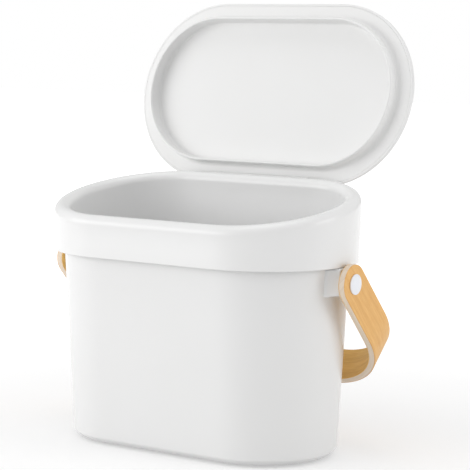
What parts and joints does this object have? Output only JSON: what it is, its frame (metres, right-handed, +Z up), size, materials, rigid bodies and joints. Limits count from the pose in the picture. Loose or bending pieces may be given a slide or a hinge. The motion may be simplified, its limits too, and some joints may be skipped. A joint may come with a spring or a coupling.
{
  "type": "compost caddy with hinged lid",
  "caption": "Oblong countertop compost caddy with a sloping rolled rim, a domed lid hinged at the back and a bent wooden strap handle on side pivots.",
  "frame": {"origin": "bottom centre of the bounding box, on the table", "axes": "+Z up, +Y towards the hinge at the back, +X along the length to the right seen from the front"},
  "size_m": [0.2846, 0.1938, 0.3539],
  "materials": {
    "pail_plastic": "satin",
    "collar_plastic": "satin",
    "lid_plastic": "satin",
    "wood": "satin varnish",
    "veneer_wood": "satin varnish",
    "stud_plastic": "gloss",
    "washer_plastic": "matte",
    "steel": "brushed",
    "foot_rubber": "matte"
  },
  "bodies": {
    "bin": {"pail": "pail_plastic", "rim_collar": "collar_plastic", "hinge_pin": "steel", "pivot_stud_left": "stud_plastic", "pivot_stud_right": "stud_plastic", "spacer_washer_left": "washer_plastic", "spacer_washer_right": "washer_plastic", "stud_screw_left": "steel", "stud_screw_right": "steel", "screw_washer_left": "steel", "screw_washer_right": "steel", "foot_front_left": "foot_rubber", "foot_front_right": "foot_rubber", "foot_back_left": "foot_rubber", "foot_back_right": "foot_rubber"},
    "lid": {"lid_liner": "lid_plastic", "lid_cover": "lid_plastic"},
    "handle": {"handle_core": "wood", "handle_outer_veneer": "veneer_wood", "handle_inner_veneer": "veneer_wood"}
  },
  "joints": [
    {"name": "lid_hinge", "type": "hinge", "parent": "bin", "child": "lid", "pos_m": [0, 0.05151, 0.21], "axis": [1, 0, 0], "range_deg": [0, 115]},
    {"name": "handle_pivot", "type": "hinge", "parent": "bin", "child": "handle", "pos_m": [0, -0.0213, 0.1412], "axis": [1, 0, 0], "range_deg": [0, 75]}
  ]
}
